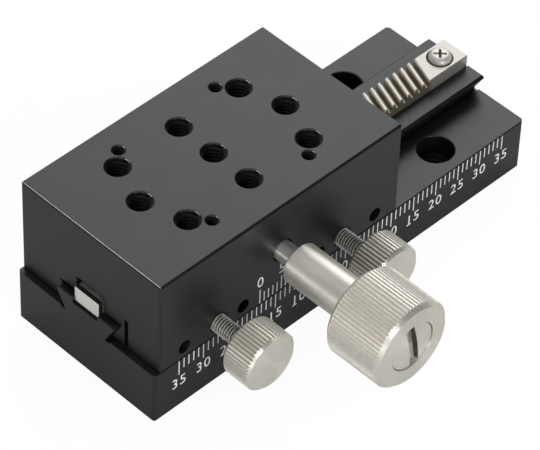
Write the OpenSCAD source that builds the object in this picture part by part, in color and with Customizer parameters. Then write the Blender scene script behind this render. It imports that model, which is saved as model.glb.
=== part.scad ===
// Rack and pinion stage: a dovetail slide for a lab bench, driven by a knob.
// X runs along the travel, Y across it with the knob side at -Y, Z is up.
// The origin is at the middle of the base's underside, where the scale reads zero.

/* [Base] */
// Length of the base along the travel
base_l = 80; // [76:1:120]
// Width of the base and of the table, whose sides are flush
stage_w = 30; // [28:0.5:44]
// Height of the ledges beside the dovetail
base_h = 10; // [8.5:0.5:16]
// Distance of the mounting holes from the base's ends
bolt_end = 15; // [8:0.5:16]
// Distance of the mounting holes from the base's sides
bolt_side = 5; // [4.5:0.1:5.2]
// Radius of the clearance hole for an M3 screw
bolt_r = 1.7; // [1.55:0.05:1.9]
// Radius of the counterbore for its head
bolt_head_r = 3; // [2.9:0.05:3.1]
// Depth of the counterbore
bolt_head_depth = 4; // [3.3:0.1:5]

/* [Dovetail] */
// Width of the dovetail where it meets the ledges
tail_root_w = 8.8; // [8.4:0.1:10]
// Height of the dovetail above the ledges
tail_h = 3.4; // [3.2:0.1:3.8]
// Angle of the flanks from level, in degrees
tail_angle = 60; // [56:1:62]
// Height of the blunt edge that takes the sharp tip off each flank
tail_blunt = 0.4; // [0.2:0.05:0.6]
// Running gap between the sliding flanks, square to them
slide_gap = 0.03; // [0.02:0.01:0.05]
// Gap between the top of the dovetail and the table
tail_top_gap = 0.6; // [0.4:0.05:0.8]

/* [Table] */
// Length of the table
table_l = 50; // [50:1:60]
// Height of the table
table_h = 17.85; // [17.65:0.05:20]
// Gap between the table's underside and the ledges
table_gap = 0.15; // [0.1:0.05:0.3]
// Middle of the table along the scale, as it stands at rest
table_x = -13.9; // [-14:0.1:14]
// Width of the slot that frees the gib lip
slot_w = 0.8; // [0.6:0.05:1]
// Thickness of the gib lip's neck at the groove's upper corner
slot_neck = 0.6; // [0.5:0.05:0.8]
// How far the slot reaches above the groove's ceiling
slot_rise = 1.7; // [1.2:0.1:2]

/* [Holes in the table top] */
// Half distance along the travel between the four outer M4 holes
m4_corner_x = 12.5; // [12:0.1:13]
// Half distance across the travel between the M4 holes
m4_corner_y = 7.5; // [7:0.1:7.6]
// Distance from the middle to the two end M4 holes
m4_end_x = 15; // [14.5:0.1:18]
// Radius of an M4 hole over its thread
m4_r = 2; // [1.9:0.05:2.1]
// Depth of the M4 holes
m4_depth = 5; // [4:0.1:5]
// Half distance between the M2 holes, both ways
m2_half = 10; // [9.9:0.1:10.5]
// Radius of an M2 hole over its thread
m2_r = 1; // [0.9:0.05:1.1]
// Depth of the M2 holes
m2_depth = 4; // [3:0.1:5]

/* [Rack] */
// Module of the teeth, square to them
tooth_module = 0.5; // [0.48:0.01:0.51]
// Helix angle of the teeth, in degrees
helix = 20; // [17:1:21]
// Pressure angle of the teeth, in degrees
pressure = 20; // [19:0.5:21]
// Width of the rack
rack_w = 5.2; // [4.6:0.1:5.4]
// Height of the rack
rack_h = 3.4; // [3.3:0.05:3.6]
// How deep the rack sits in the top of the dovetail
rack_seat = 1.1; // [1:0.05:1.2]
// Distance of the last tooth gap from the base's right end
rack_blank_right = 8.6; // [8.4:0.1:9]
// Least distance of the first tooth gap from the base's left end
rack_blank_left = 7.6; // [7.4:0.1:9]
// Distance of each rack screw from the base's end
rack_screw_end = 4; // [3.6:0.1:4.2]

/* [Pinion] */
// Number of teeth on the pinion
pinion_teeth = 12; // [11:1:12]
// Width of the pinion
pinion_w = 6; // [5.4:0.1:6.2]
// Share of the module by which the pinion's teeth stand further out
pinion_shift_share = 0.25; // [0.2:0.01:0.3]
// Radius of the pinion shaft
shaft_r = 1.7; // [1.6:0.05:1.8]
// Radius of the bore that takes the pinion and its bushes
bore_r = 4; // [3.9:0.05:4.05]
// Radius of the hole in the front face that the shaft comes out of
shaft_hole_r = 2; // [1.9:0.05:2.4]

/* [Knob] */
// Length of bare shaft between the table and the knob's sleeve
knob_standoff = 3.3; // [2:0.1:5]
// Radius of the sleeve
sleeve_r = 3.45; // [3.1:0.05:3.8]
// Length of the sleeve
sleeve_l = 12.7; // [10:0.1:16]
// Radius of the knob over its ribs
knob_r = 7.5; // [6.5:0.1:8]
// Length of the knob
knob_l = 10.7; // [9:0.1:14]
// Number of ribs round the knob
knob_ribs = 75; // [60:1:90]
// Radius of the head of the knob's screw
knob_screw_r = 4.1; // [3.6:0.05:4.4]

/* [Clamp screws] */
// Distance of each clamp screw from the middle of the table
clamp_x = 13; // [12.9:0.1:13.4]
// Radius of the clamp screws' heads over their ribs
clamp_r = 5; // [4.4:0.1:5.4]
// Length of the clamp screws' heads
clamp_l = 5.5; // [4:0.1:6]
// Number of ribs round a clamp screw's head
clamp_ribs = 50; // [40:1:60]
// Distance from the table to the back of the heads, when slackened
clamp_standoff = 5.6; // [5:0.1:7]
// Radius of the clamp screws' M3 thread
clamp_thread_r = 1.5; // [1.4:0.05:1.6]

/* [Gib screws] */
// Distance of the outer gib screws from the middle of the table
gib_outer_x = 20; // [18.5:0.1:20.5]
// Distance of the inner gib screws from the middle of the table
gib_inner_x = 8; // [7.5:0.1:8.6]
// Radius of the gib screws' M2.5 thread
gib_screw_r = 1.15; // [1.1:0.05:1.25]
// Length of the gib screws
gib_screw_l = 5.5; // [5:0.1:6]

/* [Hidden] */
$fn = 64;

// How far a cutting shape runs past the face that it cuts
over = 1;
// Clearance round a screw in its tapped hole, a rack in its groove and a bush in its bore
seat_gap = 0.05;
// Running gap round a shaft in its bush, and between parts that turn against each other
run_gap = 0.05;

// Edges broken on the machined blocks
edge_c = 0.3;
corner_c = 0.5;
fine_c = 0.12;
hole_c = 0.15;

// Levels
ledge_z = base_h;
tail_z = ledge_z + tail_h;
table_z = ledge_z + table_gap;
ceiling_z = tail_z + tail_top_gap;
table_top_z = table_z + table_h;
rack_bottom_z = tail_z - rack_seat;
rack_z = rack_bottom_z + rack_h;

// Dovetail and groove half widths, and the undercut at the dovetail's root
lean = 1 / tan(tail_angle);
tail_half = tail_root_w / 2;
groove_side_gap = slide_gap / sin(tail_angle);
undercut_w = 0.9;
undercut_depth = 0.4;
groove_ceiling_half = tail_half + (ceiling_z - ledge_z) * lean + groove_side_gap;
// Room over the rack for its teeth, its screws and the pinion
pocket_w = 6;
pocket_h = 3;

// Gib lip: the strip of the table between the slot and the groove
lip_y = -groove_ceiling_half - slot_neck;
slot_y = lip_y - slot_w;
slot_top_z = ceiling_z + slot_rise;
face_y = -stage_w / 2;

// Rack teeth
pitch_n = PI * tooth_module;
pitch_x = pitch_n / cos(helix);
dedendum_share = 1.25;
backlash_share = 0.04;
addendum = tooth_module;
dedendum = dedendum_share * tooth_module;
backlash = backlash_share * pitch_n;
rack_pitch_z = rack_z - addendum;
rack_edge_c = 0.1;
rack_end_gap = 0.4;
rack_end_c = 0.5;
rack_last_gap_x = base_l / 2 - rack_blank_right;
rack_gaps = 1 + floor((base_l - rack_blank_left - rack_blank_right) / pitch_x);
rack_screw_x = base_l / 2 - rack_screw_end;

// Rack screws, M2 pan heads in spot faces
rack_screw_r = 1;
rack_screw_head_r = 1.9;
rack_screw_head_h = 1.3;
rack_screw_l = 5;
rack_screw_dome_share = 0.5;
rack_screw_crown_share = 0.45;
rack_screw_cross_shares = [0.25, 1.15];
rack_spot_r = 2.2;
rack_spot_depth = 0.9;
rack_hole_r = 1.1;

// Pinion, worked out in the plane square to its shaft
module_t = tooth_module / cos(helix);
pressure_t = atan(tan(pressure) / cos(helix));
pinion_pitch_r = pinion_teeth * module_t / 2;
pinion_base_r = pinion_pitch_r * cos(pressure_t);
pinion_shift = pinion_shift_share * tooth_module;
pinion_tip_r = pinion_pitch_r + addendum + pinion_shift;
pinion_root_r = pinion_pitch_r - dedendum + pinion_shift;
pinion_z = rack_pitch_z + pinion_pitch_r + pinion_shift;
pinion_twist = pinion_w * tan(helix) / pinion_pitch_r * 180 / PI;
// Turn that drops a tooth of the pinion into the nearest tooth gap of the rack
gap_offset = (table_x - rack_last_gap_x) / pitch_x;
pinion_turn = (gap_offset - round(gap_offset)) * 360 / pinion_teeth;

// Pieces along the pinion shaft, from the front face to the back
washer_t = 0.5;
wave_t = 0.2;
wave_rise = 0.35;
wave_count = 3;
wave_steps = 12;
washer_r = bore_r - 2 * seat_gap;
washer_hole_r = shaft_r + 2 * seat_gap;
washer_y = -pinion_w / 2 - run_gap - washer_t;
front_bush_l = 6.3;
front_bush_back_y = washer_y - run_gap;
front_bush_y = front_bush_back_y - front_bush_l;
wave_y = pinion_w / 2 + run_gap;
rear_bush_y = wave_y + 2 * wave_rise + wave_t + run_gap;
rear_bush_recess = 0.3;
rear_bush_end_y = -face_y - rear_bush_recess;
rear_bush_bore_l = 6;
shaft_rear_y = rear_bush_y + rear_bush_bore_l - washer_t;

// Knob set, outwards from the face
sleeve_y = face_y - knob_standoff;
sleeve_end_y = sleeve_y - sleeve_l;
knob_end_y = sleeve_end_y - knob_l;
shaft_step = 0.1;
shaft_front_r = shaft_r - shaft_step;
knob_recess = 2.2;
knob_recess_gap = 0.15;
knob_floor_y = knob_end_y + knob_recess;
shaft_front_y = knob_floor_y + washer_t;
knob_screw_thread_r = 1;
knob_screw_thread_l = 6;
knob_screw_dome = 0.35;
knob_slot_w = 1.7;
knob_slot_depth = 1.1;
knob_slot_angle = -10;
knob_rib_depth = 0.2;
knob_edge_c = 0.7;

// Clamp screws, with a loose brass pad between each and the gib lip
clamp_lift = 0.125;
clamp_z = (table_z + ceiling_z) / 2 + clamp_lift;
clamp_slack = 0.25;
clamp_pad_r = 1.2;
clamp_pad_l = 2;
clamp_pad_y = lip_y - clamp_slack;
clamp_tip_y = clamp_pad_y - clamp_pad_l - run_gap;
clamp_head_y = face_y - clamp_standoff;
clamp_rib_depth = 0.25;
clamp_edge_c = 0.5;
clamp_tip_c = 0.3;

// Gib screws with hexagon sockets
gib_hole_r = gib_screw_r + seat_gap;
gib_socket_r = 0.73;
gib_socket_depth = 1.2;
gib_tip_c = 0.3;

// A cylinder that runs from one place to another across the travel
module rod_y(y1, y2, r) {
    translate([0, y2, 0]) rotate([90, 0, 0]) cylinder(h = y2 - y1, r = r);
}

// The same with its ends bevelled, c1 at y1 and c2 at y2
module bevelled_rod_y(y1, y2, r, c1, c2) {
    translate([0, y2, 0]) rotate([90, 0, 0]) rotate_extrude()
        polygon([[0, 0], [r - c2, 0], [r, c2], [r, y2 - y1 - c1], [r - c1, y2 - y1], [0, y2 - y1]]);
}

// A rectangle with its four corners cut off at 45 degrees
module cut_rectangle(w, h, c_low, c_high) {
    polygon([[-w / 2 + c_low, 0], [w / 2 - c_low, 0], [w / 2, c_low], [w / 2, h - c_high],
        [w / 2 - c_high, h], [-w / 2 + c_high, h], [-w / 2, h - c_high], [-w / 2, c_low]]);
}

// A profile drawn in Y and Z, run along X and centred
module along_x(l) {
    rotate([90, 0, 90]) linear_extrude(height = l, center = true) children();
}

// A profile drawn in X and Z, run along Y and centred
module along_y(l) {
    rotate([90, 0, 0]) linear_extrude(height = l, center = true) children();
}

// Outline of the base seen along the travel
module base_profile() {
    tip_half = tail_half + (tail_h - tail_blunt) * lean;
    polygon([
        [-stage_w / 2 + edge_c, 0], [stage_w / 2 - edge_c, 0], [stage_w / 2, edge_c],
        [stage_w / 2, ledge_z - fine_c], [stage_w / 2 - fine_c, ledge_z],
        [tail_half + undercut_w, ledge_z], [tail_half + undercut_w, ledge_z - undercut_depth],
        [tail_half, ledge_z - undercut_depth], [tail_half, ledge_z],
        [tip_half, tail_z - tail_blunt], [tip_half - tail_blunt, tail_z],
        [rack_w / 2 + seat_gap, tail_z], [rack_w / 2 + seat_gap, rack_bottom_z],
        [-rack_w / 2 - seat_gap, rack_bottom_z], [-rack_w / 2 - seat_gap, tail_z],
        [-tip_half + tail_blunt, tail_z], [-tip_half, tail_z - tail_blunt],
        [-tail_half, ledge_z], [-tail_half, ledge_z - undercut_depth],
        [-tail_half - undercut_w, ledge_z - undercut_depth], [-tail_half - undercut_w, ledge_z],
        [-stage_w / 2 + fine_c, ledge_z], [-stage_w / 2, ledge_z - fine_c], [-stage_w / 2, edge_c]
    ]);
}

module base_plate() {
    color("#2b2c2e") difference() {
        intersection() {
            along_x(base_l) base_profile();
            along_y(stage_w) cut_rectangle(base_l, tail_z, edge_c, fine_c);
            linear_extrude(height = tail_z) translate([0, -stage_w / 2])
                cut_rectangle(base_l, stage_w, corner_c, corner_c);
        }
        for (x = [bolt_end - base_l / 2, base_l / 2 - bolt_end],
            y = [bolt_side - stage_w / 2, stage_w / 2 - bolt_side]) translate([x, y, 0]) {
            translate([0, 0, -over]) cylinder(h = base_h + 2 * over, r = bolt_r);
            translate([0, 0, ledge_z - bolt_head_depth])
                cylinder(h = bolt_head_depth + over, r = bolt_head_r);
            translate([0, 0, ledge_z - hole_c])
                cylinder(h = hole_c, r1 = bolt_head_r, r2 = bolt_head_r + hole_c);
        }
        for (sx = [-1, 1])
            translate([sx * rack_screw_x, 0, rack_z - rack_spot_depth - rack_screw_l - seat_gap])
                cylinder(h = rack_screw_l + over, r = rack_screw_r + seat_gap);
    }
}

// One tooth gap of the rack, seen along the teeth and run across the rack
module rack_gap_cut() {
    half = pitch_n / 4 + backlash / 2;
    low_half = half - dedendum * tan(pressure);
    high_half = half + (addendum + over) * tan(pressure);
    rotate([0, 0, -helix]) along_y(2 * rack_w)
        polygon([[-low_half, -addendum - dedendum], [low_half, -addendum - dedendum],
            [high_half, over], [-high_half, over]]);
}

module rack() {
    rack_l = base_l - 2 * rack_end_gap;
    color("#d8d2c4") difference() {
        translate([0, 0, rack_bottom_z]) along_x(rack_l) cut_rectangle(rack_w, rack_h, fine_c, rack_edge_c);
        for (i = [0 : rack_gaps - 1]) translate([rack_last_gap_x - i * pitch_x, 0, rack_z]) rack_gap_cut();
        for (sx = [-1, 1]) translate([sx * rack_screw_x, 0, 0]) {
            translate([0, 0, rack_bottom_z - over]) cylinder(h = rack_h + over, r = rack_hole_r);
            translate([0, 0, rack_z - rack_spot_depth]) cylinder(h = rack_spot_depth + over, r = rack_spot_r);
        }
        for (sx = [-1, 1]) translate([sx * rack_l / 2, 0, rack_bottom_z]) along_y(2 * rack_w)
            polygon([[-sx * (rack_end_c + over), -over], [sx * over, rack_end_c + over], [sx * over, -over]]);
    }
}

// Pan-head screw with a cross recess, standing on the spot face
module rack_screw(sx) {
    seat_z = rack_z - rack_spot_depth;
    tip_z = seat_gap - rack_screw_l;
    dome_h = rack_screw_dome_share * rack_screw_head_h;
    recess_w = rack_screw_cross_shares[0] * rack_screw_head_r;
    recess_l = rack_screw_cross_shares[1] * rack_screw_head_r;
    crown = [for (a = [0 : 15 : 90])
        [a < 90 ? rack_screw_head_r * (1 - rack_screw_crown_share * (1 - cos(a))) : 0,
            rack_screw_head_h - dome_h * (1 - sin(a))]];
    color("#c9c3b6") translate([sx * rack_screw_x, 0, seat_z]) difference() {
        rotate_extrude() polygon(concat([[0, tip_z], [rack_screw_r - fine_c, tip_z],
            [rack_screw_r, tip_z + fine_c], [rack_screw_r, 0], [rack_screw_head_r, 0]], crown));
        for (turn = [45, 135]) rotate([0, 0, turn])
            translate([-recess_l / 2, -recess_w / 2, rack_screw_head_h - dome_h])
                cube([recess_l, recess_w, dome_h + over]);
    }
}

module rack_screw_left() { rack_screw(-1); }

module rack_screw_right() { rack_screw(1); }

// Outline of the table seen along the travel, with groove, pocket and gib slot
module table_profile() {
    low_half = tail_half + (table_z - ledge_z) * lean + groove_side_gap;
    difference() {
        translate([0, table_z]) cut_rectangle(stage_w, table_h, fine_c, edge_c);
        polygon([[-low_half + over * lean, table_z - over], [low_half - over * lean, table_z - over],
            [groove_ceiling_half, ceiling_z], [-groove_ceiling_half, ceiling_z]]);
        translate([-pocket_w / 2, ceiling_z - over]) square([pocket_w, pocket_h + over]);
        translate([slot_y, table_z - over]) square([slot_w, slot_top_z - table_z + over]);
    }
}

// A blind hole in the table top with its mouth bevelled
module top_hole(x, y, r, depth) {
    translate([x, y, table_top_z]) {
        translate([0, 0, -depth]) cylinder(h = depth + over, r = r);
        translate([0, 0, -hole_c]) cylinder(h = hole_c, r1 = r, r2 = r + hole_c);
    }
}

module table_block() {
    color("#333436") translate([table_x, 0, 0]) difference() {
        intersection() {
            along_x(table_l) table_profile();
            translate([0, 0, table_z]) along_y(stage_w) cut_rectangle(table_l, table_h, fine_c, edge_c);
            translate([0, -stage_w / 2, table_z]) linear_extrude(height = table_h)
                cut_rectangle(table_l, stage_w, edge_c, edge_c);
        }
        for (sx = [-1, 1], sy = [-1, 1]) {
            top_hole(sx * m4_corner_x, sy * m4_corner_y, m4_r, m4_depth);
            top_hole(sx * m2_half, sy * m2_half, m2_r, m2_depth);
        }
        for (s = [-1, 0, 1]) top_hole(0, s * m4_corner_y, m4_r, m4_depth);
        for (s = [-1, 1]) top_hole(s * m4_end_x, 0, m4_r, m4_depth);
        for (x = [-gib_outer_x, -gib_inner_x, gib_inner_x, gib_outer_x]) translate([x, 0, clamp_z])
            rod_y(face_y - over, slot_y + slot_w / 2, gib_hole_r);
        for (x = [-clamp_x, clamp_x]) translate([x, 0, clamp_z]) {
            rod_y(face_y - over, slot_y + slot_w / 2, clamp_thread_r + run_gap);
            translate([0, face_y, 0]) rotate([-90, 0, 0])
                cylinder(h = edge_c, r1 = clamp_thread_r + run_gap + edge_c, r2 = clamp_thread_r + run_gap);
        }
        translate([0, 0, pinion_z]) {
            rod_y(face_y - over, 0, shaft_hole_r);
            rod_y(front_bush_y, -face_y + over, bore_r);
        }
    }
}

// Socket set screw that presses on the gib lip
module gib_screw(x) {
    tail_y = lip_y - gib_screw_l;
    color("#3a3a3c") translate([table_x + x, 0, clamp_z]) difference() {
        bevelled_rod_y(tail_y, lip_y, gib_screw_r, fine_c, gib_tip_c);
        translate([0, tail_y + gib_socket_depth, 0]) rotate([90, 0, 0])
            cylinder(h = gib_socket_depth + over, r = gib_socket_r, $fn = 6);
    }
}

module gib_screw_1() { gib_screw(-gib_outer_x); }

module gib_screw_2() { gib_screw(-gib_inner_x); }

module gib_screw_3() { gib_screw(gib_inner_x); }

module gib_screw_4() { gib_screw(gib_outer_x); }

module front_bush() {
    color("#a8824a") translate([table_x, 0, pinion_z]) difference() {
        bevelled_rod_y(front_bush_y, front_bush_back_y, bore_r - seat_gap, fine_c, fine_c);
        rod_y(front_bush_y - over, front_bush_back_y + over, shaft_r + run_gap);
    }
}

// The rear bush closes the bore and holds the shaft's tail in a blind hole
module rear_bush() {
    color("#a8824a") translate([table_x, 0, pinion_z]) difference() {
        bevelled_rod_y(rear_bush_y, rear_bush_end_y, bore_r - seat_gap, fine_c, edge_c);
        rod_y(rear_bush_y - over, rear_bush_y + rear_bush_bore_l, shaft_r + run_gap);
    }
}

module thrust_washer() {
    color("#8e9196") translate([table_x, 0, pinion_z]) difference() {
        rod_y(washer_y, washer_y + washer_t, washer_r);
        rod_y(washer_y - over, washer_y + washer_t + over, washer_hole_r);
    }
}

// A thin spring ring that rises and falls round its circle
module wave_washer() {
    steps = wave_steps * wave_count;
    rise = [for (i = [0 : steps - 1]) wave_rise * (1 + cos(360 * wave_count * i / steps))];
    ring = [for (i = [0 : steps - 1]) let (a = 360 * i / steps, c = cos(a), s = sin(a), y = rise[i])
        each [[washer_hole_r * c, y, washer_hole_r * s], [washer_r * c, y, washer_r * s],
            [washer_r * c, y + wave_t, washer_r * s], [washer_hole_r * c, y + wave_t, washer_hole_r * s]]];
    walls = [for (i = [0 : steps - 1], k = [0 : 3])
        let (p = 4 * i + k, q = 4 * i + (k + 1) % 4, r = (4 * (i + 1) + (k + 1) % 4) % (4 * steps),
            t = (4 * (i + 1) + k) % (4 * steps))
        each [[p, q, r], [p, r, t]]];
    color("#b9bcc0") translate([table_x, wave_y, pinion_z]) polyhedron(points = ring, faces = walls);
}

// Angle in degrees that an involute has unrolled through at a radius
function unrolled(r) = sqrt(pow(r / pinion_base_r, 2) - 1) * 180 / PI - acos(pinion_base_r / r);

// Half the angle of a pinion tooth at its base circle
tooth_half_angle = 90 / pinion_teeth + unrolled(pinion_pitch_r)
    + (2 * pinion_shift * tan(pressure) / cos(helix) - backlash) / 2 / pinion_pitch_r * 180 / PI;

// Radius and angle of the points up one flank of a pinion tooth
flank_steps = 4;
tooth_flank = [for (i = [0 : flank_steps])
    let (r = pinion_base_r + (pinion_tip_r - pinion_base_r) * i / flank_steps)
    [r, tooth_half_angle - unrolled(r)]];

// Points of one pinion tooth, from its root on one side to its root on the other
pinion_tooth = concat(
    [[pinion_root_r, -tooth_half_angle]],
    [for (p = tooth_flank) [p[0], -p[1]]],
    [for (i = [flank_steps : -1 : 0]) tooth_flank[i]],
    [[pinion_root_r, tooth_half_angle]]);

module pinion() {
    color("#c2b280") translate([table_x, -pinion_w / 2, pinion_z]) rotate([-90, 0, 0])
        rotate([0, 0, pinion_turn + pinion_twist / 2])
        linear_extrude(height = pinion_w, twist = pinion_twist, slices = 6, convexity = 6) difference() {
            polygon([for (k = [0 : pinion_teeth - 1], p = pinion_tooth)
                let (a = 90 + k * 360 / pinion_teeth + p[1]) [p[0] * cos(a), p[0] * sin(a)]]);
            circle(r = shaft_r + run_gap, $fn = 48);
        }
}

module pinion_shaft() {
    color("#b6b2a8") translate([table_x, 0, pinion_z]) difference() {
        union() {
            bevelled_rod_y(sleeve_y, shaft_rear_y, shaft_r, fine_c, edge_c);
            rod_y(shaft_front_y, sleeve_y + over, shaft_front_r);
        }
        rod_y(shaft_front_y - over, shaft_front_y + knob_screw_thread_l, knob_screw_thread_r + seat_gap);
    }
}

module knob_sleeve() {
    color("#c4beb0") translate([table_x, 0, pinion_z]) difference() {
        bevelled_rod_y(sleeve_end_y, sleeve_y, sleeve_r, fine_c, edge_c);
        rod_y(sleeve_end_y - over, sleeve_y + over, shaft_front_r + seat_gap);
    }
}

// A head with straight ribs all round and bevelled ends
module ribbed_head_y(y1, y2, r, ribs, depth, c) {
    crest_share = 0.36;
    step = 360 / ribs;
    outline = [for (i = [0 : ribs - 1]) let (a = i * step, w = step * crest_share / 2)
        each [[r * cos(a - w), r * sin(a - w)], [r * cos(a + w), r * sin(a + w)],
            [(r - depth) * cos(a + step / 2), (r - depth) * sin(a + step / 2)]]];
    intersection() {
        translate([0, y2, 0]) rotate([90, 0, 0]) linear_extrude(height = y2 - y1) polygon(outline);
        bevelled_rod_y(y1, y2, r + fine_c, c + fine_c, c + fine_c);
    }
}

module main_knob() {
    color("#bdb7aa") translate([table_x, 0, pinion_z]) difference() {
        ribbed_head_y(knob_end_y, sleeve_end_y, knob_r, knob_ribs, knob_rib_depth, knob_edge_c);
        rod_y(knob_end_y, sleeve_end_y + over, shaft_front_r + seat_gap);
        rod_y(knob_end_y - over, knob_floor_y, knob_screw_r + knob_recess_gap);
    }
}

// Slotted screw with a low dome, which holds the knob on the shaft
module knob_screw() {
    dome_r = (knob_screw_r * knob_screw_r + knob_screw_dome * knob_screw_dome) / (2 * knob_screw_dome);
    edge_y = knob_end_y + knob_screw_dome / 2;
    color("#c4beb0") translate([table_x, 0, pinion_z]) difference() {
        union() {
            intersection() {
                rod_y(edge_y - knob_screw_dome, knob_floor_y, knob_screw_r);
                translate([0, edge_y - knob_screw_dome + dome_r, 0]) sphere(r = dome_r, $fn = 96);
            }
            rod_y(knob_floor_y - fine_c, shaft_front_y + knob_screw_thread_l - washer_t, knob_screw_thread_r);
        }
        rotate([0, knob_slot_angle, 0])
            translate([-knob_slot_w / 2, edge_y - knob_screw_dome - over, -knob_screw_r - over])
            cube([knob_slot_w, knob_slot_depth + over, 2 * (knob_screw_r + over)]);
    }
}

module clamp_pad(x) {
    color("#b08d57") translate([table_x + x, 0, clamp_z])
        bevelled_rod_y(clamp_tip_y + run_gap, clamp_pad_y, clamp_pad_r, fine_c, fine_c);
}

module clamp_pad_left() { clamp_pad(-clamp_x); }

module clamp_pad_right() { clamp_pad(clamp_x); }

module clamp_screw(x) {
    color("#bdb7aa") translate([table_x + x, 0, clamp_z]) union() {
        bevelled_rod_y(clamp_head_y - fine_c, clamp_tip_y, clamp_thread_r, 0, clamp_tip_c);
        ribbed_head_y(clamp_head_y - clamp_l, clamp_head_y, clamp_r, clamp_ribs,
            clamp_rib_depth, clamp_edge_c);
    }
}

module clamp_screw_left() { clamp_screw(-clamp_x); }

module clamp_screw_right() { clamp_screw(clamp_x); }

base_plate();
rack();
rack_screw_left();
rack_screw_right();
table_block();
gib_screw_1();
gib_screw_2();
gib_screw_3();
gib_screw_4();
front_bush();
rear_bush();
thrust_washer();
wave_washer();
pinion();
pinion_shaft();
knob_sleeve();
main_knob();
knob_screw();
clamp_pad_left();
clamp_pad_right();
clamp_screw_left();
clamp_screw_right();
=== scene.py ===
# %% [markdown]
# # Rack and pinion stage
# A rack and pinion stage carries a sample on a lab bench. A black table slides on a dovetail,
# a ribbed knob turns a small pinion inside the table, and the pinion rolls along a bright
# rack let into the base. Two thumbscrews clamp the table where it stands.
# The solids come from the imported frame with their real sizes. This lesson adds what the frame
# leaves out: the finishes, the screw threads, the scale and vernier, and the light.

# %% Load the frame
import math

import bpy
from mathutils import Matrix, Vector


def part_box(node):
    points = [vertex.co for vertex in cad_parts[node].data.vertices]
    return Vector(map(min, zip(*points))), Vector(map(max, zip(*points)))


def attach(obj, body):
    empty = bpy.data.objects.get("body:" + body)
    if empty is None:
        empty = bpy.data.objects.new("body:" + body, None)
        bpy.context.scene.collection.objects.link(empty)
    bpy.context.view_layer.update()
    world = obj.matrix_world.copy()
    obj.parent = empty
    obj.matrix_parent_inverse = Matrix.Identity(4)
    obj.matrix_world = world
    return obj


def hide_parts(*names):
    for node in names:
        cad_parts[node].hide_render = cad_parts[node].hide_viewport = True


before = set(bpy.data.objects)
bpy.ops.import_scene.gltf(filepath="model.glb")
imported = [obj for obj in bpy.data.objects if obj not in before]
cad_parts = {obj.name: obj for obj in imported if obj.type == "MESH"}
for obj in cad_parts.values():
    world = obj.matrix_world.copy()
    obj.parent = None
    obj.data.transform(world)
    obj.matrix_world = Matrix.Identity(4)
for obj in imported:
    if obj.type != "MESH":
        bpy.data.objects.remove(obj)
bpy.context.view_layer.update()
MM = 0.001

# %% [markdown]
# Every size below starts from the frame, so that the pieces fit the solids they sit on.
# A node's box gives its lowest and highest corners in metres. The table's middle, its front
# face and the shaft's height all come from such boxes.

# %% Measure the solids that the new pieces sit on
table_low, table_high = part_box("table_block")
knob_low, knob_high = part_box("main_knob")
table_x = (table_low[0] + table_high[0]) / 2
table_top = table_high[2]
table_foot = table_low[2]
front_y = table_low[1]
shaft_z = (knob_low[2] + knob_high[2]) / 2
print("table middle", round(table_x / MM, 2), "mm, top", round(table_top / MM, 2), "mm")

# %% [markdown]
# A camera that stands far off with a long lens gives the flat, even perspective of a
# catalogue photograph. It looks down at about 45 degrees from the left end and the knob side.
# The place, the aim and the small roll were found by fitting the scale's lines and the
# blocks' edges. The lens shift slides the picture without turning the camera.

# %% Set up the camera
camera_place = Vector((-288.4, -274.6, 406.6)) * MM
camera_look = Vector((0.50533, 0.48721, -0.71222))
camera_roll = math.radians(2.15)
focal_px = 3651.8
centre_px = (259.1, 226.6)
frame_px = (540, 450)
sensor_mm = 36
nearest_m = 0.01
farthest_m = 20


def look_from(place, direction):
    """Where a camera or a lamp stands, and which way it looks."""
    aim = direction.to_track_quat("-Z", "Y").to_matrix().to_4x4()
    return Matrix.Translation(place) @ aim


camera_data = bpy.data.cameras.new("camera")
camera_data.sensor_width = sensor_mm
camera_data.lens = focal_px / frame_px[0] * sensor_mm
camera_data.shift_x = (frame_px[0] / 2 - centre_px[0]) / frame_px[0]
camera_data.shift_y = (centre_px[1] - frame_px[1] / 2) / frame_px[0]
camera_data.clip_start = nearest_m
camera_data.clip_end = farthest_m
camera = bpy.data.objects.new("camera", camera_data)
camera.matrix_world = look_from(camera_place, camera_look) @ Matrix.Rotation(camera_roll, 4, "Z")
bpy.context.scene.collection.objects.link(camera)
bpy.context.scene.camera = camera
print("lens", round(camera_data.lens, 1), "mm")

# %% [markdown]
# The world, the floor and every finish are built from nodes. By hand, a node is added, its
# values are typed in and its sockets are wired up. One helper does all three, so that a node
# reads as one line: its kind, what goes into each socket, and its settings. Four short
# helpers then stand for the nodes that come up again and again.

# %% Write the node helpers


def add_node(tree, kind, inputs=None, **settings):
    """Adds a node. Each input is linked, if it is given a socket, or else set to the value."""
    node = tree.nodes.new(kind)
    for name, value in settings.items():
        setattr(node, name, value)
    for key, value in (inputs or {}).items():
        if isinstance(value, bpy.types.NodeSocket):
            tree.links.new(value, node.inputs[key])
        else:
            node.inputs[key].default_value = value
    return node


def add_math(tree, operation, *values):
    node = add_node(tree, "ShaderNodeMath", dict(enumerate(values)), operation=operation)
    return node.outputs["Value"]


def add_dot(tree, first, second):
    node = add_node(tree, "ShaderNodeVectorMath", {0: first, 1: second}, operation="DOT_PRODUCT")
    return node.outputs["Value"]


def add_range(tree, value, start, end, low=0.0, high=1.0, ease="LINEAR"):
    """Goes from low to high while the value goes from start to end, and no further."""
    inputs = {"Value": value, "From Min": start, "From Max": end, "To Min": low, "To Max": high}
    node = add_node(tree, "ShaderNodeMapRange", inputs, interpolation_type=ease)
    return node.outputs["Result"]


def add_mix(tree, share, first, second):
    """Mixes two colours. A colour is a socket or a tuple of red, green and blue."""
    first, second = ((*c, 1) if isinstance(c, tuple) else c for c in (first, second))
    inputs = {"Factor": share, "A": first, "B": second}
    node = add_node(tree, "ShaderNodeMix", inputs, data_type="RGBA")
    return node.outputs["Result"]


def find_node(material, kind):
    return next(n for n in material.node_tree.nodes if n.type == kind)


print("node helpers ready")

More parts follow.
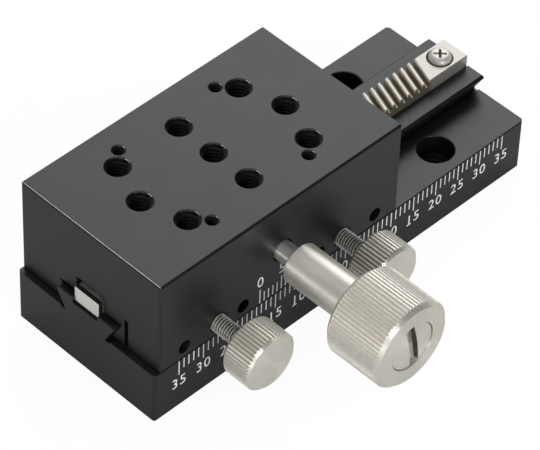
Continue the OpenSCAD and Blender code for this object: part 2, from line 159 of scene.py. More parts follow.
# %% [markdown]
# Small parts on a bench are photographed in a white tent: pale light from all round, one
# strong soft lamp above and behind, a darker side where the photographer stands, and a dim
# gap between the tent's lamps at the left. Bare metal shows all of this in its surface, so
# the world is a gradient with dark patches and not one flat white.
# The camera itself sees plain white, as the ground of a catalogue picture is.

# %% Make the world
tent_low = 0.85
tent_high = 0.70
tent_fill = 0.50
rise_from = 0.1
rise_to = 0.6
ground_white = 1.0
# Each dark patch: its direction, the nearness at its edge and at its core, and the share
# of the light that its core keeps. Nearness is 1 in its very direction and 0 square to it.
dark_patches = (
    ((0.52, -0.70, 0.49), 0.40, 0.86, 0.02),
    ((-0.65, 0.49, 0.58), 0.84, 0.97, 0.60),
)

world = bpy.data.worlds.new("white_tent")
bpy.context.scene.world = world
world.use_nodes = True
tree = world.node_tree
tree.nodes.clear()
direction = add_node(tree, "ShaderNodeTexCoord").outputs["Generated"]
height = add_node(tree, "ShaderNodeSeparateXYZ", {"Vector": direction}).outputs["Z"]
brightness = add_range(tree, height, rise_from, rise_to, tent_low, tent_high, "SMOOTHSTEP")
for toward, edge, core, share in dark_patches:
    nearness = add_dot(tree, direction, Vector(toward).normalized())
    kept = add_range(tree, nearness, edge, core, 1.0, share, "SMOOTHSTEP")
    brightness = add_math(tree, "MULTIPLY", brightness, kept)
mirrored, scattered, seen = (
    add_node(tree, "ShaderNodeBackground", {"Strength": strength}).outputs["Background"]
    for strength in (brightness, tent_fill, ground_white))
ray = add_node(tree, "ShaderNodeLightPath").outputs
sharp = add_math(tree, "MAXIMUM", ray["Is Glossy Ray"], ray["Is Transmission Ray"])
by_gloss = add_node(tree, "ShaderNodeMixShader", {"Fac": sharp, 1: scattered, 2: mirrored})
by_camera = add_node(tree, "ShaderNodeMixShader", {
    "Fac": ray["Is Camera Ray"], 1: by_gloss.outputs["Shader"], 2: seen})
add_node(tree, "ShaderNodeOutputWorld", {"Surface": by_camera.outputs["Shader"]})
bpy.context.scene.view_settings.view_transform = "Standard"
print("world made with", len(dark_patches), "dark patches")

# %% [markdown]
# An area lamp's look depends on its radiance, which is its power over pi times its area.
# So each lamp is given by the brightness that a mirror would show, its size and its place,
# and the power is worked out. The lamp above and behind shines off the table's top into
# the camera, which is why a black top reads as a mid grey.

# %% Hang the lamps


def hang_lamp(name, toward, distance, size, radiance):
    lamp = bpy.data.lights.new(name, "AREA")
    lamp.shape = "SQUARE"
    lamp.size = size
    lamp.energy = radiance * math.pi * size * size
    holder = bpy.data.objects.new(name, lamp)
    place = Vector(toward).normalized() * distance
    holder.matrix_world = look_from(place, -place)
    bpy.context.scene.collection.objects.link(holder)
    print(name, "at", [round(v, 2) for v in place], "power", round(lamp.energy, 2), "W")
    return holder


hang_lamp("lamp_above_behind", (0.68, 0.50, 0.60), distance=0.80, size=0.52, radiance=2.08)
hang_lamp("lamp_left", (-0.88, -0.35, 0.14), distance=0.80, size=0.22, radiance=11.0)
hang_lamp("lamp_front_left", (-0.28, -0.87, 0.40), distance=0.90, size=0.18, radiance=16.0)
front_fill = hang_lamp(
    "lamp_front_fill", (0.1, -0.88, 0.46), distance=1.20, size=1.00, radiance=1.3)
front_fill.visible_glossy = False

# %% [markdown]
# The floor is a pale sheet. For the camera it is mostly its own white, so the ground reads
# as paper, and a share of real shading is kept so that the object's shadow still shows.
# A black object on white paper looks grey, because its sides mirror the paper. So the
# sheet that the object mirrors is a darker grey than the sheet that the camera sees.

# %% Lay the floor
floor_size = 6.0
floor_drop = 0.05
floor_white = (0.80, 0.80, 0.795)
floor_mirrored = (0.63, 0.64, 0.64)
floor_glow_share = 0.86
floor_glow = 1.08

bpy.ops.object.select_all(action="DESELECT")
bpy.ops.mesh.primitive_plane_add(size=floor_size, location=(0, 0, -floor_drop * MM))
floor = bpy.context.active_object
floor.name = "floor"
floor_material = bpy.data.materials.new("pale_floor")
floor_material.use_nodes = True
tree = floor_material.node_tree
tree.nodes.clear()
to_camera = add_node(tree, "ShaderNodeLightPath").outputs["Is Camera Ray"]
sheet = add_mix(tree, to_camera, floor_mirrored, floor_white)
paper = add_node(tree, "ShaderNodeBsdfDiffuse", {"Color": sheet})
glow = add_node(tree, "ShaderNodeEmission", {"Strength": floor_glow})
blend = add_node(tree, "ShaderNodeMixShader", {
    "Fac": add_math(tree, "MULTIPLY", to_camera, floor_glow_share),
    1: paper.outputs["BSDF"], 2: glow.outputs["Emission"]})
add_node(tree, "ShaderNodeOutputMaterial", {"Surface": blend.outputs["Shader"]})
floor.data.materials.append(floor_material)
print("floor laid,", floor_size, "m square")

# %% [markdown]
# No machined surface is one flat value, and several effects are shared by many finishes
# here. Each is a node group with named inputs, built once, that every material sets for
# itself. The first is a fine mottle: blasted and plated surfaces vary a little in tone and
# gloss from patch to patch.

# %% Build the mottle group


def new_group(name, vectors, numbers, results):
    """A node group with its sockets made, and what goes into it and comes out of it."""
    group = bpy.data.node_groups.new(name, "ShaderNodeTree")
    for label in vectors:
        group.interface.new_socket(name=label, in_out="INPUT", socket_type="NodeSocketVector")
    for label, value in numbers.items():
        socket = group.interface.new_socket(
            name=label, in_out="INPUT", socket_type="NodeSocketFloat")
        socket.default_value = value
    for label in results:
        group.interface.new_socket(name=label, in_out="OUTPUT", socket_type="NodeSocketFloat")
    entry = group.nodes.new("NodeGroupInput").outputs
    leave = group.nodes.new("NodeGroupOutput").inputs
    return group, entry, leave


def build_mottle_group():
    group, entry, leave = new_group(
        "fine_mottle", ("Vector",), {"Patches per mm": 0.3, "Grains per mm": 12.0},
        ("Patch", "Grain"))
    in_mm = add_node(
        group, "ShaderNodeVectorMath", {0: entry["Vector"], "Scale": 1 / MM}, operation="SCALE")
    for scale, result, detail in (
            ("Patches per mm", "Patch", 3.0), ("Grains per mm", "Grain", 1.0)):
        noise = add_node(group, "ShaderNodeTexNoise", {
            "Vector": in_mm.outputs["Vector"], "Scale": entry[scale], "Detail": detail})
        group.links.new(noise.outputs["Fac"], leave[result])
    return group


mottle_group = build_mottle_group()
print("group", mottle_group.name, "with", len(mottle_group.nodes), "nodes")

# %% [markdown]
# The second effect is a set of turned rings. A lathe tool leaves fine rings round the axis,
# which show on the faces of knobs and screw heads. The group also gives the distance from
# the axis, which tells the roots of ribs and threads from their crests.

# %% Build the turned-rings group


def build_rings_group():
    group, entry, leave = new_group(
        "turned_rings", ("Vector",), {"Axis X": 0.0, "Axis Z": 0.0, "Rings per mm": 14.0},
        ("Rings", "Radius in mm"))
    place = add_node(group, "ShaderNodeSeparateXYZ", {"Vector": entry["Vector"]}).outputs
    away = {
        part: add_math(group, "SUBTRACT", place[part], entry["Axis " + part])
        for part in ("X", "Z")}
    flat = add_node(group, "ShaderNodeCombineXYZ", away).outputs["Vector"]
    radius = add_node(group, "ShaderNodeVectorMath", {0: flat}, operation="LENGTH")
    in_mm = add_math(group, "MULTIPLY", radius.outputs["Value"], 1 / MM)
    noise = add_node(
        group, "ShaderNodeTexNoise",
        {"W": in_mm, "Scale": entry["Rings per mm"], "Detail": 2.0}, noise_dimensions="1D")
    group.links.new(noise.outputs["Fac"], leave["Rings"])
    group.links.new(in_mm, leave["Radius in mm"])
    return group


rings_group = build_rings_group()
print("group", rings_group.name, "with", len(rings_group.nodes), "nodes")

# %% [markdown]
# The last two effects are masks, which say where a finish takes another tone. One finds the
# faces that look along a direction, such as the walls of a slot or the end of a bar. The
# other finds what lies low down, such as the bottoms of tooth gaps, and it can be kept
# between two slanting lines, because the gaps of a helical rack run at a slant.

# %% Build the mask groups
mask_edge = 0.3


def build_facing_group():
    group, entry, leave = new_group(
        "facing_mask", ("Normal", "Vector", "Direction"), {"Least": 0.9, "Above": -1.0}, ("Mask",))
    along = add_dot(group, entry["Normal"], entry["Direction"])
    either_way = add_math(group, "ABSOLUTE", along)
    square_on = add_math(group, "GREATER_THAN", either_way, entry["Least"])
    place = add_node(group, "ShaderNodeSeparateXYZ", {"Vector": entry["Vector"]}).outputs
    high = add_math(group, "GREATER_THAN", place["Z"], entry["Above"])
    group.links.new(add_math(group, "MULTIPLY", square_on, high), leave["Mask"])
    return group


def build_low_group():
    group, entry, leave = new_group(
        "low_mask", ("Vector",), {"Level": 0.0, "Depth": MM, "Half length": 1.0, "Slant": 0.0},
        ("Mask",))
    place = add_node(group, "ShaderNodeSeparateXYZ", {"Vector": entry["Vector"]}).outputs
    full_level = add_math(group, "SUBTRACT", entry["Level"], entry["Depth"])
    low = add_range(group, place["Z"], entry["Level"], full_level, ease="SMOOTHSTEP")
    slanted = add_math(group, "MULTIPLY", place["Y"], entry["Slant"])
    off_middle = add_math(group, "ABSOLUTE", add_math(group, "SUBTRACT", place["X"], slanted))
    outer = add_math(group, "ADD", entry["Half length"], mask_edge * MM)
    inner = add_math(group, "SUBTRACT", entry["Half length"], mask_edge * MM)
    between = add_range(group, off_middle, outer, inner)
    group.links.new(add_math(group, "MULTIPLY", low, between), leave["Mask"])
    return group


facing_group = build_facing_group()
low_group = build_low_group()
for group in (facing_group, low_group):
    print("group", group.name, "with", len(group.nodes), "nodes")

# %% [markdown]
# Each finish is a Principled shader whose tone and gloss wander between two values. One
# helper builds that common part: a mottle drives the base colour, the roughness and a very
# small bump. Constants such as the metal share stay on the shader's own sockets.

# %% Write the finish helper
MICRON = 1e-6
round_samples = 6


def new_finish(
        name, dark, light, rough, metal, bump_um, patches=0.3, grains=12.0, ior=1.5, round_mm=0.0):
    """A material: dark and light are the colours it wanders between, rough a pair of values."""
    material = bpy.data.materials.new(name)
    material.use_nodes = True
    tree = material.node_tree
    tree.nodes.clear()
    mottle = add_node(tree, "ShaderNodeGroup", {
        "Vector": add_node(tree, "ShaderNodeTexCoord").outputs["Object"],
        "Patches per mm": patches, "Grains per mm": grains}, node_tree=mottle_group).outputs
    bump = add_node(tree, "ShaderNodeBump", {
        "Strength": 1.0, "Distance": bump_um * MICRON, "Height": mottle["Grain"]})
    if round_mm:
        rounded = add_node(
            tree, "ShaderNodeBevel", {"Radius": round_mm * MM}, samples=round_samples)
        tree.links.new(rounded.outputs["Normal"], bump.inputs["Normal"])
    shader = add_node(tree, "ShaderNodeBsdfPrincipled", {
        "Metallic": metal, "IOR": ior,
        "Base Color": add_mix(tree, mottle["Patch"], dark, light),
        "Roughness": add_range(tree, mottle["Patch"], 0.0, 1.0, *rough),
        "Normal": bump.outputs["Normal"]})
    add_node(tree, "ShaderNodeOutputMaterial", {"Surface": shader.outputs["BSDF"]})
    return material


print("finish helper ready")

# %% [markdown]
# Turned pieces need two things more. Their rings are a second bump on top of the first, and
# rings also spread the shine across themselves, which makes the soft bands along a brushed
# barrel. The Principled shader calls that anisotropic, and a tangent tells it which way.

# %% Write the helpers for turned pieces
quarter_turn = 0.25


def add_rings(material, axis_x, axis_z, rings_um, rings_per_mm=9.0):
    """Adds turned rings round an axis along Y to a finish made by new_finish."""
    tree = material.node_tree
    rings = add_node(tree, "ShaderNodeGroup", {
        "Vector": find_node(material, "TEX_COORD").outputs["Object"],
        "Axis X": axis_x, "Axis Z": axis_z, "Rings per mm": rings_per_mm}, node_tree=rings_group)
    bump = add_node(tree, "ShaderNodeBump", {
        "Distance": rings_um * MICRON, "Height": rings.outputs["Rings"],
        "Normal": find_node(material, "BUMP").outputs["Normal"]})
    shader = find_node(material, "BSDF_PRINCIPLED")
    tree.links.new(bump.outputs["Normal"], shader.inputs["Normal"])


def spread_shine(material, amount):
    """Spreads the shine across the turned rings: along a barrel, and outwards on a face."""
    tree = material.node_tree
    shader = find_node(material, "BSDF_PRINCIPLED")
    round_axis = add_node(tree, "ShaderNodeTangent", direction_type="RADIAL", axis="Y")
    tree.links.new(round_axis.outputs["Tangent"], shader.inputs["Tangent"])
    shader.inputs["Anisotropic"].default_value = amount
    shader.inputs["Anisotropic Rotation"].default_value = quarter_turn


print("helpers for turned pieces ready")

# %% [markdown]
# A mask changes a finish the same way whatever made it: what fed the base colour before now
# goes through one more mix. So each change builds its mask, and one helper does the rest.

# %% Write the helpers that change a tone


def recolour(material, mask, colour):
    """Gives a finish another colour where a mask is 1."""
    tree = material.node_tree
    base_colour = find_node(material, "BSDF_PRINCIPLED").inputs["Base Color"]
    before = base_colour.links[0].from_socket
    tree.links.new(add_mix(tree, mask, before, colour), base_colour)


def recolour_facing(material, direction, least, colour, above=-1.0):
    """Recolours the faces square to a direction, either way round, above a level."""
    tree = material.node_tree
    rounded = [n.outputs["Normal"] for n in tree.nodes if n.type == "BEVEL"]
    flat = None if rounded else add_node(tree, "ShaderNodeNewGeometry").outputs["True Normal"]
    mask = add_node(tree, "ShaderNodeGroup", {
        "Normal": rounded[0] if rounded else flat,
        "Vector": find_node(material, "TEX_COORD").outputs["Object"],
        "Direction": direction, "Least": least, "Above": above}, node_tree=facing_group)
    recolour(material, mask.outputs["Mask"], colour)


def recolour_low(material, level, depth, colour, half_length=1.0, slant=0.0):
    """Fades a finish from a level downwards, where |x - slant * y| is under half_length."""
    mask = add_node(material.node_tree, "ShaderNodeGroup", {
        "Vector": find_node(material, "TEX_COORD").outputs["Object"],
        "Level": level, "Depth": depth, "Half length": half_length, "Slant": slant},
        node_tree=low_group)
    recolour(material, mask.outputs["Mask"], colour)


def recolour_left_of(material, x, colour):
    """Recolours everything at the left of a place along X."""
    tree = material.node_tree
    coords = find_node(material, "TEX_COORD").outputs["Object"]
    place = add_node(tree, "ShaderNodeSeparateXYZ", {"Vector": coords}).outputs
    recolour(material, add_math(tree, "LESS_THAN", place["X"], x), colour)


def recolour_roots(material, root_r, crest_r, colour):
    """Fades ribs or a thread towards their roots, on a finish with rings. Radii are in mm."""
    tree = material.node_tree
    rings = next(n for n in tree.nodes if n.type == "GROUP" and n.node_tree == rings_group)
    mask = add_range(tree, rings.outputs["Radius in mm"], crest_r, root_r)
    recolour(material, mask, colour)


def dress(nodes, material):
    """Puts a finish on solids of the frame, in place of their own."""
    for node in nodes:
        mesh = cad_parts[node].data
        mesh.materials.clear()
        mesh.materials.append(material)


print("helpers that change a tone ready")

# %% [markdown]
# The blocks are aluminium, blasted and anodised black. The dye is nearly black, and what
# the eye sees is mostly the soft shine of the oxide skin, so the base colour stays very low
# and the roughness is in the middle. The edges are broken by a hair, which the Bevel node
# gives. The table's upper edge at the left end gets a painted highlight: one thin pale line
# of colour in place of the light that it catches.

# %% Finish the blocks
skin_tint = (0.955, 1.0, 0.985, 1)
edge_facing = (-0.707, 0, 0.707)
edge_painted_highlight = (0.60, 0.62, 0.62)
edge_reach = 0.12

black_anodised = new_finish(
    "black_anodised", (0.003, 0.0036, 0.004), (0.007, 0.0078, 0.0082), (0.36, 0.44),
    metal=0.0, bump_um=1.6, patches=0.22, grains=9.0, ior=1.6, round_mm=0.22)
skin = find_node(black_anodised, "BSDF_PRINCIPLED")
skin.inputs["Specular Tint"].default_value = skin_tint
# Painted highlight: the table's upper edge at the left end is coloured pale.
recolour_facing(
    black_anodised, edge_facing, least=0.985, colour=edge_painted_highlight,
    above=table_top - edge_reach * MM)
dress(("base_plate", "table_block"), black_anodised)
print("blocks dressed")

# %% [markdown]
# The knob, its sleeve, its screw and the thumbscrews are brass with satin nickel plate,
# which is a warm silver. Each has its own turned rings, because the rings run round the
# piece's own axis, and the rings spread the shine across themselves.

# %% Finish the knob and its sleeve
nickel_dark = (0.79, 0.75, 0.67)
nickel_light = (0.94, 0.90, 0.82)


def new_nickel(name, axis_x, axis_z, rough):
    material = new_finish(
        name, nickel_dark, nickel_light, rough, metal=0.78, bump_um=6.5, patches=1.5, grains=4.5)
    add_rings(material, axis_x, axis_z, rings_um=0.8)
    spread_shine(material, 0.75)
    return material


knob_nickel = new_nickel("nickel_on_the_shaft", table_x, shaft_z, rough=(0.30, 0.52))
dress(("knob_sleeve", "main_knob"), knob_nickel)
print("knob and sleeve dressed")

# %% [markdown]
# The rack is plated too. In the photograph its tooth gaps look brown, their flanks and its
# end faces look pale, and a narrow band at its left end looks dark. These are light and shade,
# and the finish paints them in so that they show at this small size: painted shade in the
# gaps and in the band, and a painted highlight on the flanks and the end faces.

# %% Finish the rack
rack_low, rack_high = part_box("rack")
flank_painted_highlight = (0.95, 0.92, 0.86)
end_painted_highlight = (0.99, 0.96, 0.91)
gap_painted_shade = (0.27, 0.235, 0.175)
band_painted_shade = (0.06, 0.05, 0.035)
gap_level = rack_high[2] - 0.26 * MM
gap_fade = 0.25 * MM
teeth_reach = 32.3 * MM
teeth_slant = math.tan(math.radians(20))
band_end = rack_low[0] + 0.75 * MM

rack_nickel = new_finish(
    "rack_nickel", (0.42, 0.405, 0.37), (0.50, 0.485, 0.45), (0.30, 0.40),
    metal=0.7, bump_um=1.2, patches=0.8, grains=14.0)
# Painted highlight on the tooth flanks and end faces, painted shade in the tooth gaps and in the
# band at the left end.
recolour_facing(rack_nickel, (1, 0, 0), least=0.6, colour=flank_painted_highlight)
recolour_low(rack_nickel, gap_level, gap_fade, gap_painted_shade, teeth_reach, teeth_slant)
recolour_left_of(rack_nickel, band_end, band_painted_shade)
recolour_facing(rack_nickel, (1, 0, 0), least=0.98, colour=end_painted_highlight)
dress(("rack",), rack_nickel)
print("rack dressed")

# %% [markdown]
# The knob's screw is plated like the knob. A slot lies in its own shade and looks dark from
# every side, so its two walls get a dark tone, and are found by the way that they face.

# %% Finish the knob's screw
slot_turn = math.radians(-10)
slot_across = (math.cos(slot_turn), 0, math.sin(slot_turn))
slot_shade = (0.07, 0.06, 0.05)
screw_nickel = new_nickel("nickel_knob_screw", table_x, shaft_z, rough=(0.38, 0.48))
recolour_facing(screw_nickel, slot_across, least=0.9, colour=slot_shade)
dress(("knob_screw",), screw_nickel)
print("knob screw dressed")

# %% [markdown]
# Inside and at the back are a ground steel shaft, oxide-black set screws, bushes of sintered
# bronze, which has open pores that hold oil, spring-steel washers, and brass for the pinion
# and the clamp pads.

# %% Finish the shaft, bushes and small pieces
shaft_steel = new_finish(
    "shaft_steel", (0.74, 0.72, 0.68), (0.92, 0.90, 0.86), (0.26, 0.36),
    metal=0.75, bump_um=3.0, patches=0.9, grains=12.0)
spread_shine(shaft_steel, 0.75)
black_steel = new_finish(
    "black_steel", (0.008, 0.008, 0.009), (0.014, 0.014, 0.015), (0.50, 0.60),
    metal=0.0, bump_um=1.0, patches=1.5, grains=14.0)
bronze = new_finish(
    "bronze", (0.30, 0.19, 0.09), (0.46, 0.31, 0.15), (0.38, 0.55),
    metal=1.0, bump_um=9.0, patches=2.5, grains=7.0)
spring_steel = new_finish(
    "spring_steel", (0.50, 0.50, 0.50), (0.58, 0.58, 0.58), (0.20, 0.30),
    metal=1.0, bump_um=0.6, patches=0.6)
brass = new_finish(
    "brass", (0.62, 0.46, 0.20), (0.74, 0.57, 0.28), (0.24, 0.36),
    metal=1.0, bump_um=0.8, patches=0.8)
dress(("pinion_shaft",), shaft_steel)
dress(("gib_screw_1", "gib_screw_2", "gib_screw_3", "gib_screw_4"), black_steel)
dress(("front_bush", "rear_bush"), bronze)
dress(("thrust_washer", "wave_washer"), spring_steel)
dress(("pinion", "clamp_pad_left", "clamp_pad_right"), brass)
print("shaft, bushes and small pieces dressed")

# %% [markdown]
# The pieces made from here on all end the same way: one mesh object at the origin with its
# place in its vertices, smooth where the surface is round, with a material and a body that
# carries it. An operator acts on all that is selected, so the small helpers here choose what
# it acts on.

# %% Write the modelling helpers
merge_distance = 1e-7
smooth_angle = 35


def deselect_all():
    bpy.ops.object.select_all(action="DESELECT")


def only(piece):
    deselect_all()
    piece.select_set(True)
    bpy.context.view_layer.objects.active = piece


def select_where(piece, test):
    """In edit mode: selects the vertices whose place passes the test, and nothing else."""
    bpy.ops.mesh.select_mode(type="VERT")
    bpy.ops.mesh.select_all(action="DESELECT")
    bpy.ops.object.mode_set(mode="OBJECT")
    for vertex in piece.data.vertices:
        vertex.select = test(vertex.co)
    bpy.ops.object.mode_set(mode="EDIT")


def apply_place(piece):
    only(piece)
    bpy.ops.object.transform_apply(location=True, rotation=True, scale=True)


def join_all(parts):
    for part in parts:
        apply_place(part)
    deselect_all()
    for part in parts:
        part.select_set(True)
    bpy.context.view_layer.objects.active = parts[0]
    bpy.ops.object.join()
    return parts[0]


def copy_of(piece):
    twin = piece.copy()
    twin.data = piece.data.copy()
    bpy.context.scene.collection.objects.link(twin)
    return twin


def open_copy(node):
    """A copy of a solid, freed from its body, merged, and open in edit mode."""
    piece = copy_of(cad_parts[node])
    piece.parent = None
    piece.matrix_world = Matrix.Identity(4)
    only(piece)
    bpy.ops.object.mode_set(mode="EDIT")
    bpy.ops.mesh.select_all(action="SELECT")
    bpy.ops.mesh.remove_doubles(threshold=merge_distance)
    bpy.ops.mesh.customdata_custom_splitnormals_clear()
    return piece


def finish_piece(piece, name, material, body, smooth=smooth_angle):
    apply_place(piece)
    piece.name = name
    piece.data.name = name
    piece.data.materials.clear()
    piece.data.materials.append(material)
    if smooth:
        bpy.ops.object.shade_smooth_by_angle(angle=math.radians(smooth))
    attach(piece, body)
    return piece


print("modelling helpers ready")

# %% [markdown]
# A screw thread is a ridge with a flat crest that winds round a cylinder. By hand it is made
# from one small square: the square stands in the plane of the axis, its crest side is
# pinched, and a Screw modifier winds it up. In a tapped hole the ridge points inwards from
# the wall, and on a shank it points outwards from the root. The same helper makes both.

# %% Write the thread helper
ridge_share = 0.86
root_overlap = 0.02


def wind_thread(root_r, crest_r, pitch, turns, steps, crest_share=0.18):
    """A helical ridge round the Z axis, from z = 0 upwards, with its ends closed."""
    deselect_all()
    bpy.ops.mesh.primitive_plane_add(
        size=1, location=((root_r + crest_r) / 2, 0, 0), rotation=(math.pi / 2, 0, 0))
    ridge = bpy.context.active_object
    ridge.scale = (abs(root_r - crest_r), pitch * ridge_share, 1)
    apply_place(ridge)
    bpy.ops.object.mode_set(mode="EDIT")
    select_where(ridge, lambda place: abs(place.x - crest_r) < abs(place.x - root_r))
    bpy.ops.transform.resize(value=(1, 1, crest_share))
    bpy.ops.object.mode_set(mode="OBJECT")
    winding = ridge.modifiers.new("winding", "SCREW")
    winding.axis = "Z"
    winding.screw_offset = pitch
    winding.iterations = turns
    winding.steps = steps
    winding.render_steps = steps
    bpy.ops.object.modifier_apply(modifier=winding.name)
    bpy.ops.object.mode_set(mode="EDIT")
    bpy.ops.mesh.select_all(action="SELECT")
    bpy.ops.mesh.remove_doubles(threshold=merge_distance)
    bpy.ops.mesh.fill_holes(sides=4)
    bpy.ops.mesh.normals_make_consistent(inside=False)
    bpy.ops.object.mode_set(mode="OBJECT")
    return ridge


print("thread helper ready")

# %% [markdown]
# The table's top has nine M4 holes and four M2 holes. The solids hold them as plain bores
# at the thread's outer radius, so the ridge is all that is missing. One thread is wound for
# each size and copied into every hole, a little below the bevelled mouth.

# %% Thread the holes in the table's top
m4_places = [(sx * 12.5, sy * 7.5) for sx in (-1, 1) for sy in (-1, 1)]
m4_places += [(-15, 0), (15, 0), (0, -7.5), (0, 0), (0, 7.5)]
m2_places = [(sx * 10, sy * 10) for sx in (-1, 1) for sy in (-1, 1)]
thread_sizes = {
    "m4": dict(places=m4_places, wall=2.0, crest=1.66, pitch=0.7, turns=6, start=0.42, steps=40),
    "m2": dict(places=m2_places, wall=1.0, crest=0.80, pitch=0.4, turns=8, start=0.30, steps=28),
}
thread_black = new_finish(
    "thread_black", (0.003, 0.003, 0.0035), (0.006, 0.006, 0.007), (0.36, 0.46),
    metal=0.0, bump_um=1.0, ior=1.33)
for size, t in thread_sizes.items():
    pattern = wind_thread(
        (t["wall"] + root_overlap) * MM, t["crest"] * MM, t["pitch"] * MM, t["turns"], t["steps"])
    depth = t["start"] + t["pitch"] * t["turns"]
    for number, (x, y) in enumerate(t["places"], start=1):
        thread = copy_of(pattern)
        thread.location = (table_x + x * MM, y * MM, table_top - depth * MM)
        finish_piece(thread, f"{size}_thread_{number}", thread_black, "table")
    bpy.data.objects.remove(pattern)
    print(size, "threads cut:", len(t["places"]))

# %% [markdown]
# A thumbscrew is a ribbed head on a threaded shank. The head's ribs are in the solid
# already, so the new piece starts as a copy of it: the copy is merged, everything behind
# the head's back face is bisected away, and a slimmer root cylinder with a wound ridge
# takes the plain shank's place.

# %% Write the shank helper
shank_r = 1.5
root_r = 1.15
m3_pitch = 0.5
m3_crest_share = 0.3
m3_steps = 40
first_turn = 0.35
tip_bevel = 0.25
tip_reach = 0.01
core_sides = 48


def make_shank(axis_x, axis_z, head_back, tip_y):
    """A threaded shank along Y, from the head's back to its tip."""
    length = tip_y - head_back
    deselect_all()
    bpy.ops.mesh.primitive_cylinder_add(
        vertices=core_sides, radius=root_r * MM, depth=length,
        location=(axis_x, head_back + length / 2, axis_z), rotation=(math.pi / 2, 0, 0))
    core = bpy.context.active_object
    apply_place(core)
    bpy.ops.object.mode_set(mode="EDIT")
    select_where(core, lambda place: place.y > tip_y - tip_reach * MM)
    bpy.ops.mesh.bevel(offset=tip_bevel * MM, affect="EDGES")
    bpy.ops.object.mode_set(mode="OBJECT")
    turns = int(length / (m3_pitch * MM)) - 1
    ridge = wind_thread(
        (root_r - root_overlap) * MM, shank_r * MM, m3_pitch * MM, turns, m3_steps, m3_crest_share)
    ridge.rotation_euler = (-math.pi / 2, 0, 0)
    ridge.location = (axis_x, head_back + first_turn * MM, axis_z)
    print("shank wound with", turns, "turns of thread")
    return join_all([core, ridge])


print("shank helper ready")

# %% [markdown]
# In the photograph the grooves between a head's ribs look darker than its crests, and most
# of all on the right screw. That is shade, so each screw's grooves fade to a painted shade of
# their own, the right screw's the darker one, and the threads' roots get painted shade too.
# The flat faces of the head keep the plain nickel.

# %% Make the thumbscrews
head_r = 5.0
rib_depth = 0.25
rib_crest = 0.07
head_least_r = 2.0
cut_back = 0.001
rib_painted_shades = {"left": (0.50, 0.47, 0.41), "right": (0.15, 0.135, 0.11)}
thread_root_painted_shade = (0.07, 0.06, 0.045)
thread_root_r = root_r + 0.08
thread_crest_r = shank_r - 0.06


def make_thumbscrew(side):
    solid = "clamp_screw_" + side
    low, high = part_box(solid)
    axis_x, axis_z = (low[0] + high[0]) / 2, (low[2] + high[2]) / 2
    head_back = max(
        v.co.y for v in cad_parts[solid].data.vertices
        if math.hypot(v.co.x - axis_x, v.co.z - axis_z) > head_least_r * MM)
    head = open_copy(solid)
    bpy.ops.mesh.select_all(action="SELECT")
    bpy.ops.mesh.bisect(
        plane_co=(0, head_back - cut_back * MM, 0), plane_no=(0, 1, 0), use_fill=True,
        clear_outer=True)
    bpy.ops.object.mode_set(mode="OBJECT")
    shank = make_shank(axis_x, axis_z, head_back, high[1])
    nickel = new_nickel("nickel_clamp_" + side, axis_x, axis_z, rough=(0.32, 0.42))
    # Painted shade in the grooves between the ribs, darker on the right screw.
    recolour_roots(nickel, head_r - rib_depth, head_r - rib_crest, rib_painted_shades[side])
    recolour_facing(nickel, (0, 1, 0), least=0.3, colour=nickel_light)
    finish_piece(head, "thumbscrew_" + side, nickel, "clamp_" + side)
    thread_nickel = new_finish(
        "nickel_thread_" + side, (0.92, 0.89, 0.82), (0.98, 0.96, 0.90), (0.24, 0.32),
        metal=0.60, bump_um=1.0, patches=1.5)
    add_rings(thread_nickel, axis_x, axis_z, rings_um=0.4)
    # Painted shade at the roots of the thread.
    recolour_roots(thread_nickel, thread_root_r, thread_crest_r, thread_root_painted_shade)
    spread_shine(thread_nickel, 0.7)
    finish_piece(shank, "thumbscrew_shank_" + side, thread_nickel, "clamp_" + side)
    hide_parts("clamp_screw_" + side)
    print("thumbscrew", side, "made")


for side in ("left", "right"):
    make_thumbscrew(side)

# %% [markdown]
# Each rack screw has a cross recess and a pan head. The photograph shows the head standing
# well up from the rack. So a copy of the solid is taken, and its head is drawn up a little
# from its seat, to just under the roof of the table's groove. The lower part of the head
# fades to a darker tone, as it does in the photograph: a painted shade where it sits in its seat.

# %% Make the rack screws
solid_head_h = 1.3
pan_head_h = 1.85
seat_reach = 0.01
low_part = 0.70
low_fade = 0.30
head_foot_painted_shade = (0.20, 0.185, 0.155)

screw_steel = new_finish(
    "screw_steel", (0.64, 0.62, 0.58), (0.72, 0.70, 0.66), (0.34, 0.44),
    metal=0.45, bump_um=1.0, patches=0.9, grains=14.0)


def make_rack_screw(side):
    seat_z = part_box("rack_screw_" + side)[1][2] - solid_head_h * MM
    screw = open_copy("rack_screw_" + side)
    select_where(screw, lambda place: place.z > seat_z + seat_reach * MM)
    bpy.ops.transform.resize(
        value=(1, 1, pan_head_h / solid_head_h), center_override=(0, 0, seat_z))
    bpy.ops.object.mode_set(mode="OBJECT")
    finish_piece(screw, "pan_screw_" + side, screw_steel, "base")
    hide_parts("rack_screw_" + side)
    return seat_z + pan_head_h * MM


for side in ("left", "right"):
    screw_top = make_rack_screw(side)
    print("rack screw", side, "top at", round(screw_top / MM, 2), "mm")
# Painted shade on the lower part of each pan head, where it sits in its seat.
recolour_low(screw_steel, screw_top - low_part * MM, low_fade * MM, head_foot_painted_shade)

# %% [markdown]
# The scale and the vernier are engraved and filled with white paint. Paint in a groove
# stands as a thin bead with soft edges, so one line is a bar with its outer edges bevelled.
# The base has a line each millimetre from 35 to 0 to 35, with every fifth line longer. The
# vernier's ten parts span nine millimetres, so its lines drift past the scale's.

# %% Mix the white paint
white_paint = new_finish(
    "white_paint", (0.84, 0.84, 0.83), (0.94, 0.94, 0.93), (0.45, 0.60),
    metal=0.0, bump_um=2.0, patches=2.0, grains=10.0)
paint_proud = 0.012
print("paint stands", paint_proud, "mm proud")

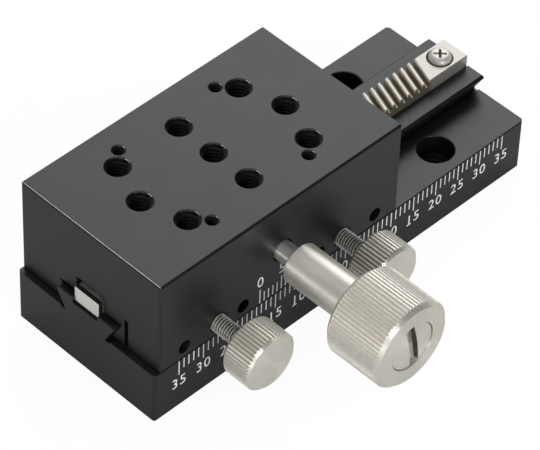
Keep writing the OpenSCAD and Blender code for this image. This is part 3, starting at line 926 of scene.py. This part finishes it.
# %% Write the line and numeral helpers
line_w = 0.20
line_bevel = 0.006
numeral_h = 2.05
digit_step = 1.62
digit_stroke = 0.22
digit_share = 0.729
digit_curve_steps = 6
foot_w = 0.95


def make_line(x, z_from, z_to, width):
    """One painted line on the front face, from z_from to z_to."""
    deselect_all()
    bpy.ops.mesh.primitive_cube_add(size=1, location=(x, front_y, (z_from + z_to) / 2))
    line = bpy.context.active_object
    line.scale = (width, 2 * paint_proud * MM, abs(z_to - z_from))
    apply_place(line)
    bpy.ops.object.mode_set(mode="EDIT")
    select_where(line, lambda place: place.y < front_y)
    bpy.ops.mesh.bevel(offset=line_bevel * MM, segments=2, affect="EDGES")
    bpy.ops.object.mode_set(mode="OBJECT")
    return line


def make_digit(digit, x, z_middle):
    """One painted digit on the front face, centred on x. A one gets a foot under its stroke."""
    deselect_all()
    bpy.ops.object.text_add(
        location=(x, front_y - paint_proud * MM, z_middle), rotation=(math.pi / 2, 0, 0))
    text = bpy.context.active_object
    text.data.body = digit
    text.data.size = numeral_h * MM / digit_share
    text.data.align_x = "CENTER"
    text.data.align_y = "CENTER"
    text.data.extrude = paint_proud * MM
    text.data.resolution_u = digit_curve_steps
    bpy.ops.object.convert(target="MESH")
    parts = [bpy.context.active_object]
    if digit == "1":
        foot_z = z_middle - numeral_h * MM / 2
        parts.append(make_line(x, foot_z, foot_z + digit_stroke * MM, foot_w * MM))
    return parts


def make_numeral(words, x, z_middle):
    parts = []
    for place, digit in enumerate(words):
        off = (place - (len(words) - 1) / 2) * digit_step * MM
        parts += make_digit(digit, x + off, z_middle)
    return parts


print("line and numeral helpers ready")

# %% Paint the base's scale
scale_reach = 35
long_every = 5
scale_top = 9.88
long_line = 2.95
short_line = 2.0
numeral_z = 5.35
scale_parts = []
for step in range(-scale_reach, scale_reach + 1):
    long = step % long_every == 0
    foot = scale_top - (long_line if long else short_line)
    scale_parts.append(make_line(step * MM, foot * MM, scale_top * MM, line_w * MM))
    if long:
        scale_parts += make_numeral(str(abs(step)), step * MM, numeral_z * MM)
finish_piece(join_all(scale_parts), "base_scale", white_paint, "base", smooth=0)
print("scale painted with", 2 * scale_reach + 1, "lines")

# %% Paint the vernier
vernier_lines = 11
vernier_part = 0.9
vernier_long = 2.9
vernier_short = 2.0
numeral_over = 1.55
vernier_foot = table_foot + 0.12 * MM
vernier_parts = []
for step in range(vernier_lines):
    x = table_x + (step - vernier_lines // 2) * vernier_part * MM
    long = step % long_every == 0
    head_z = vernier_foot + (vernier_long if long else vernier_short) * MM
    vernier_parts.append(make_line(x, vernier_foot, head_z, line_w * MM))
    if long:
        vernier_parts += make_numeral(str(step), x, head_z + numeral_over * MM)
finish_piece(join_all(vernier_parts), "vernier", white_paint, "table", smooth=0)
print("vernier painted with", vernier_lines, "lines")
